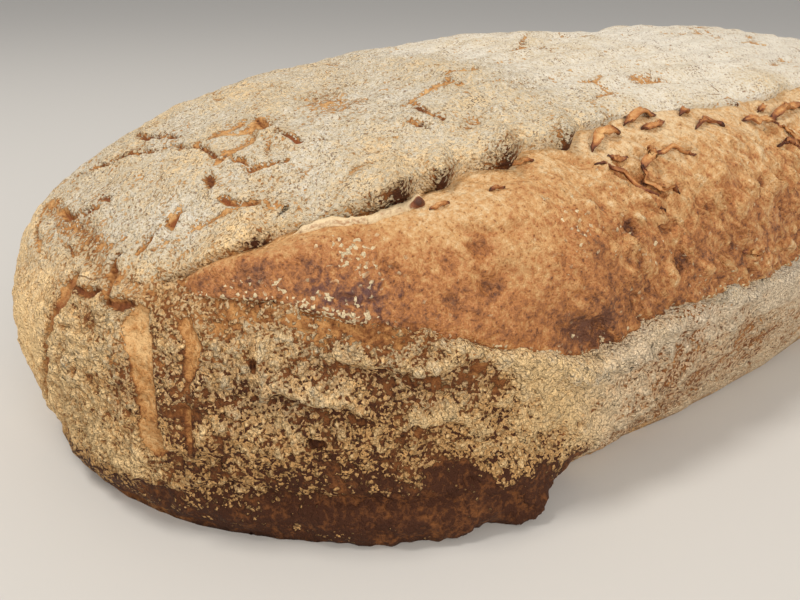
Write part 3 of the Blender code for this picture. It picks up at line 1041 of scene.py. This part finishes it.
tree, place, shader = new_finish("burst_dough", burst)
bake_and_shade_share, plum, dust_share = painted(tree, "baking")
blister, _, _ = painted(tree, "blisters")
drawn_out = place.add("Mapping", (), {"Vector": place, "Rotation": turned_to})
drawn_out = drawn_out.add("Mapping", (), {"Vector": drawn_out, "Scale": STREAK_STRETCH})
dust = place.grain(0.00040, 2.0, 0.6)
grit = place.grain(0.0010, 3.0, 0.6)
streak = drawn_out.grain(0.00125, 3.0, 0.62)
mottle = place.grain(0.0021, 4.0, 0.66)
cloud = place.grain(0.008, 3.0, 0.6)
bump_places = {"Vector": drawn_out.pushed(0.0012, 0.003), "Scale": 1 / BUMP_SIZE, "Smoothness": 0.35}
bumps = drawn_out.add("TexVoronoi", {"feature": "SMOOTH_F1"}, bump_places)
darkness = bake_and_shade_share + 0.50 * (mottle - 0.5) + 0.20 * (cloud - 0.5) + 0.95 * (grit - 0.5) + 0.50 * (dust - 0.5)
# The streaks and bumps carry the dough's own fine striations, with painted shade where their relief sinks and
# painted highlight where it rises.
darkness = darkness + blister * (0.85 * (streak - 0.5) + 0.30 * (bumps - 0.42))
dough = tree.add("ValToRGB", {"stops": DOUGH_BAKES}, {0: darkness})
purple = (plum + 1.6 * (grit - 0.5) + 1.0 * (mottle - 0.5)).step(0.30, 1.05)
dough = purple.tint(dough, PLUM)
pore = (dust + 0.4 * (grit - 0.5)).step(0.67, 0.74)
dough = (0.6 * pore).tint(dough, PORE)
speck_shape, speck_number = place.pushed(0.0008, 0.0016).crumbs(SPECK_SIZE)
flour = (dust_share + 0.25 * (mottle - 0.5) - 0.02 - speck_number).step(-0.03, 0.05)
join(flour.tint(dough, speck_number.tint(PALE_SPECK, TOASTED_SPECK)), shader, "Base Color")
join((cloud + 0.6 * (grit - 0.5)).step(0.35, 0.65) * 0.18 + 0.42 + flour * 0.3, shader, "Roughness")
height = 0.00022 * (dust - 0.5) + 0.0007 * (grit - 0.5) + 0.0006 * (mottle - 0.5)
height = height + 0.00035 * flour * speck_shape
height = height - blister * (0.0008 * (streak - 0.5) + 0.00045 * bumps) - 0.0001 * pore
bump(height, shader, 0.42)

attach(burst, "root")
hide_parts("loaf")


# Shreds: thin strips of dough skin, torn and curled where the ear pulled away from the burst. They
# baked faster than the rest, to a reddish brown with darker ends, and lie on the burst dough.
SHREDS = (  # places in millimetres, width, how far the strip arches, and how strongly it curls
    (((-77, -53, 66), (-72, -51, 68), (-67, -52, 67)), 3.0, 1.7, 0.9),
    (((-64, -51, 69), (-59, -50, 70), (-53, -51, 69)), 2.6, 1.5, 0.8),
    (((-61, -53, 68), (-57, -54, 68), (-53, -53, 68)), 1.6, 0.9, 0.6),
    (((-47, -53, 68), (-42, -52, 70)), 2.2, 1.6, 0.8),
    (((-79, -55, 63), (-75, -57, 62), (-73, -59, 61), (-72, -62, 58), (-70, -65, 54)), 0.9, 0.35, 0.5),
    (((-70, -60, 62), (-66, -59, 63), (-64, -57, 64)), 2.8, 1.9, 1.0),
    (((-64, -58, 63), (-59, -59, 63), (-52, -61, 62)), 1.3, 0.9, 0.7),
    (((-70, -59, 62), (-68, -62, 58), (-64, -65, 56)), 1.3, 1.0, 0.8),
    (((-75, -55, 64), (-71, -57, 63)), 1.3, 0.6, 0.5),
    (((-47, -57, 66), (-42, -56, 67), (-38, -59, 65)), 1.3, 0.9, 0.7),
    (((-28, -58, 66), (-24, -59, 65), (-15, -60, 65)), 2.6, 1.7, 0.9),
    (((-16, -60, 65), (-13, -63, 62), (-11, -66, 59)), 0.9, 0.6, 0.6),
    (((-15, -59, 66), (-7, -58, 67), (3, -58, 67)), 2.6, 1.6, 0.9),
    (((-16, -56, 67), (-11, -55, 68)), 1.6, 1.2, 0.9),
    (((-22, -64, 60), (-12, -65, 59)), 1.6, 0.9, 0.7),
    (((-48, -73, 43), (-42, -74, 41)), 2.2, 1.5, 0.9),
    (((-96, -48, 66), (-90, -49, 65)), 1.3, 0.6, 0.5),
    (((-116, -48, 59), (-112, -49, 60)), 0.8, 0.5, 0.5),
    (((-104, -51, 62), (-101, -52, 62)), 0.8, 0.5, 0.5),
    (((30, -55, 69), (38, -56, 68), (44, -59, 66)), 2.2, 1.4, 0.9),
    (((66, -55, 66), (74, -57, 64)), 2.0, 1.3, 0.8),
    (((104, -52, 62), (112, -53, 59)), 2.0, 1.2, 0.8),
)
SHRED_THICKNESS = 0.00055
SHRED_CELLS_ALONG, SHRED_CELLS_ACROSS = 23, 7
RIM_CELLS_ALONG, RIM_CELLS_ACROSS = 89, 9
RIM_PALENESS = 0.9  # the rim's own number, over 0.8 so that it is floured
AHEAD = 0.0008  # along a strip's path, for telling which way it runs
burst_points = points_of(burst)
burst_tree = KDTree(len(burst_points))
for k, spot in enumerate(burst_points):
    burst_tree.insert(spot, k)
burst_tree.balance()
burst_outward = normals_of(burst)


def box_strip(cells_along, cells_across):
    """A flat box of cells to be laid along a path, and its points along, across and through it."""
    strip = new_box()
    cut_cells(strip, 0, cells_along)
    cut_cells(strip, 1, cells_across)
    bpy.ops.object.mode_set(mode="OBJECT")
    return strip, *points_of(strip).T


def path_lengths(path):
    """The length along the path at each of its places."""
    return np.concatenate([[0], np.cumsum(np.linalg.norm(np.diff(path, axis=0), axis=1))])


def path_places(path, lengths, where):
    return np.stack([np.interp(where, lengths, path[:, k]) for k in range(3)], -1)


def laid_on_burst(line):
    """The way up from the burst at each place of the line, and the move that lays the line on it."""
    nearest = np.array([burst_tree.find(spot)[1] for spot in line])
    up = burst_outward[nearest]
    return up, ((burst_points[nearest] - line) * up).sum(-1, keepdims=True) * up


strips = []
for number, (path, wide, arch, curl) in enumerate(SHREDS):
    path = np.array(path) / 1000
    lengths = path_lengths(path)
    strip, u, v, w = box_strip(SHRED_CELLS_ALONG, SHRED_CELLS_ACROSS)
    where = (u + 1) / 2 * lengths[-1]
    middle_line = path_places(path, lengths, where)
    up, onto = laid_on_burst(middle_line)
    forward = path_places(path, lengths, where + AHEAD) - path_places(path, lengths, where - AHEAD)
    forward /= np.linalg.norm(forward, axis=-1, keepdims=True)
    aside = np.cross(up, forward)
    aside /= np.linalg.norm(aside, axis=-1, keepdims=True)
    seeded = np.stack([u * 1.7 + number * 5.1, v * 0.8, 0 * u], -1)
    narrow = (1 - np.abs(u) ** 2.6) ** 0.7 * (0.75 + 0.35 * soft_lumps(seeded, 0.5, 5 + number, 2)) + 0.10
    across = v * wide / 2000 * narrow
    bend = curl * 2.0 * v * (0.6 + 0.5 * soft_lumps(seeded * (1, 0, 1), 0.8, 45 + number, 2))
    height = arch / 1000 * (1 - u**2) * (0.35 + 0.65 * np.abs(np.sin(2.3 * u + number)))
    height += 0.0007 * (1 - np.cos(bend))
    thick = w * SHRED_THICKNESS / 2 * (0.5 + 0.5 * narrow)
    rough = 0.00022 * soft_lumps(np.stack([u * 3, v * 2, w * 0 + number], -1), 0.6, 77, 3)
    shape = middle_line + onto + aside * (across * np.cos(bend * 0.5))[:, None]
    shape += up * (height + thick + rough)[:, None]
    place_points(strip, shape)
    paint(strip, "charring", np.abs(u) ** 3 * 0.8 + 0.25 * np.abs(v), np.full(len(u), number % 5 / 5))
    strips.append(strip)

# The thin rim of skin left standing under the first tongue of the ear, ending in a knob.
RIM = (
    (-137, -36, 57),
    (-133, -38.5, 58),
    (-128, -41, 59),
    (-124, -43, 60),
    (-119, -45, 61),
    (-115.5, -46, 61.5),
)
rim_path = np.array(RIM) / 1000
lengths = path_lengths(rim_path)
rim, u, v, w = box_strip(RIM_CELLS_ALONG, RIM_CELLS_ACROSS)
where = (u + 1) / 2 * lengths[-1]
line = path_places(rim_path, lengths, where)
up, onto = laid_on_burst(line)
forward = (rim_path[-1] - rim_path[0]) / np.linalg.norm(rim_path[-1] - rim_path[0])
aside = np.cross(up, forward)
wave = soft_lumps(np.stack([where, 0 * u, 0 * u], -1), 0.005, 61, 3)
small_wave = soft_lumps(np.stack([where, v * 0.001, 0 * u], -1), 0.0016, 62, 2)
knob = np.exp(-(((where - lengths[-1] + 0.0012) / 0.0013) ** 2))
body = ease((1 + u) * 6) * ease((1 - u) * 14)
half_wide = v * (0.0011 + 0.0005 * wave) * (0.3 + 0.7 * body) + 0.0008 * wave
high = (0.0006 + 0.0009 * body + 0.0004 * wave + 0.0009 * knob) * (w * 0.5 + 0.5)
high += -0.0006 + 0.00025 * small_wave - 0.0005 * v * v
place_points(rim, line + onto + aside * half_wide[:, None] + up * high[:, None])
paint(rim, "charring", 0.30 * knob + 0.30 * ease(-v * 2) * (w > 0), 0 * u + RIM_PALENESS)
strips.append(rim)
for strip in strips:
    strip.select_set(True)
bpy.context.view_layer.objects.active = strips[0]
bpy.ops.object.join()
shreds = bpy.context.object
shreds.name = "shreds"
face_outwards()

# The torn skin: golden in the middle of a strip and scorched at its ends, and floured on the rim.
TORN_BAKES = (
    (0.0, (0.72, 0.46, 0.20)),
    (0.35, (0.50, 0.22, 0.070)),
    (0.7, (0.21, 0.062, 0.022)),
    (1.0, (0.075, 0.024, 0.012)),
)
FLOURED_RIM = (0.74, 0.58, 0.36)

tree, place, shader = new_finish("torn_skin", shreds)
char, own, _ = painted(tree, "charring")
dust = place.grain(0.00040, 2.0, 0.6)
grit = place.grain(0.0010, 3.0, 0.62)
darkness = char * 0.9 + 1.0 * (grit - 0.5) + 0.10 + 0.35 * own
torn_skin = tree.add("ValToRGB", {"stops": TORN_BAKES}, {0: darkness})
pale = (own - 0.8).step(0.0, 0.05) * (1 - char * 1.6)
floured = (pale + 0.6 * (grit - 0.5)).step(0.35, 0.6)
join(floured.tint(torn_skin, FLOURED_RIM), shader, "Base Color")
join(grit * 0.4 + 0.38, shader, "Roughness")
height = 0.0004 * (grit - 0.5) + 0.00015 * (dust - 0.5)
bump(height, shader, 0.4)

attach(shreds, "root")
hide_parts("loaf")


# Floor and light: a plain pale floor, a soft lamp above and behind the loaf's near end, a wider one low
# in front, and an even glow from the room.
FLOOR_HALF = 8.0
FLOOR_COLOUR = (0.60, 0.595, 0.58, 1)
ROOM_GLOW, ROOM_STRENGTH = (1.0, 0.96, 0.92, 1), 0.52
LIT_PLACE = (-0.05, 0.0, 0.03)
floor_data = bpy.data.meshes.new("floor")
floor_grid = bmesh.new()
bmesh.ops.create_grid(floor_grid, x_segments=1, y_segments=1, size=FLOOR_HALF)
floor_grid.to_mesh(floor_data)
floor_grid.free()
floor = bpy.data.objects.new("floor", floor_data)
bpy.context.scene.collection.objects.link(floor)
floor_material = bpy.data.materials.new("floor")
floor_material.use_nodes = True
floor_shader = floor_material.node_tree.nodes["Principled BSDF"]
floor_shader.inputs["Base Color"].default_value = FLOOR_COLOUR
floor_shader.inputs["Roughness"].default_value = 0.8
floor_data.materials.append(floor_material)
floor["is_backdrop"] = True


def soft_light(name, place, size, power, colour):
    """A round lamp at this place, turned to the loaf."""
    data = bpy.data.lights.new(name, "AREA")
    data.shape = "DISK"
    data.size = size
    data.energy = power
    data.color = colour
    light = bpy.data.objects.new(name, data)
    light.location = place
    light.rotation_mode = "QUATERNION"
    light.rotation_quaternion = (Vector(LIT_PLACE) - Vector(place)).to_track_quat("-Z", "Y")
    bpy.context.scene.collection.objects.link(light)


soft_light("ceiling_light", (-0.46, 0.16, 1.05), 0.30, 5.9, (1.0, 0.94, 0.86))
soft_light("front_light", (-0.38, -0.98, 0.58), 0.60, 7.4, (1.0, 0.92, 0.82))
world = bpy.data.worlds.new("room")
world.use_nodes = True
room = world.node_tree.nodes["Background"]
room.inputs["Color"].default_value = ROOM_GLOW
room.inputs["Strength"].default_value = ROOM_STRENGTH
bpy.context.scene.world = world
bpy.context.scene.view_settings.view_transform = "Standard"

# The bounds of everything shown but the floor.
low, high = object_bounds()
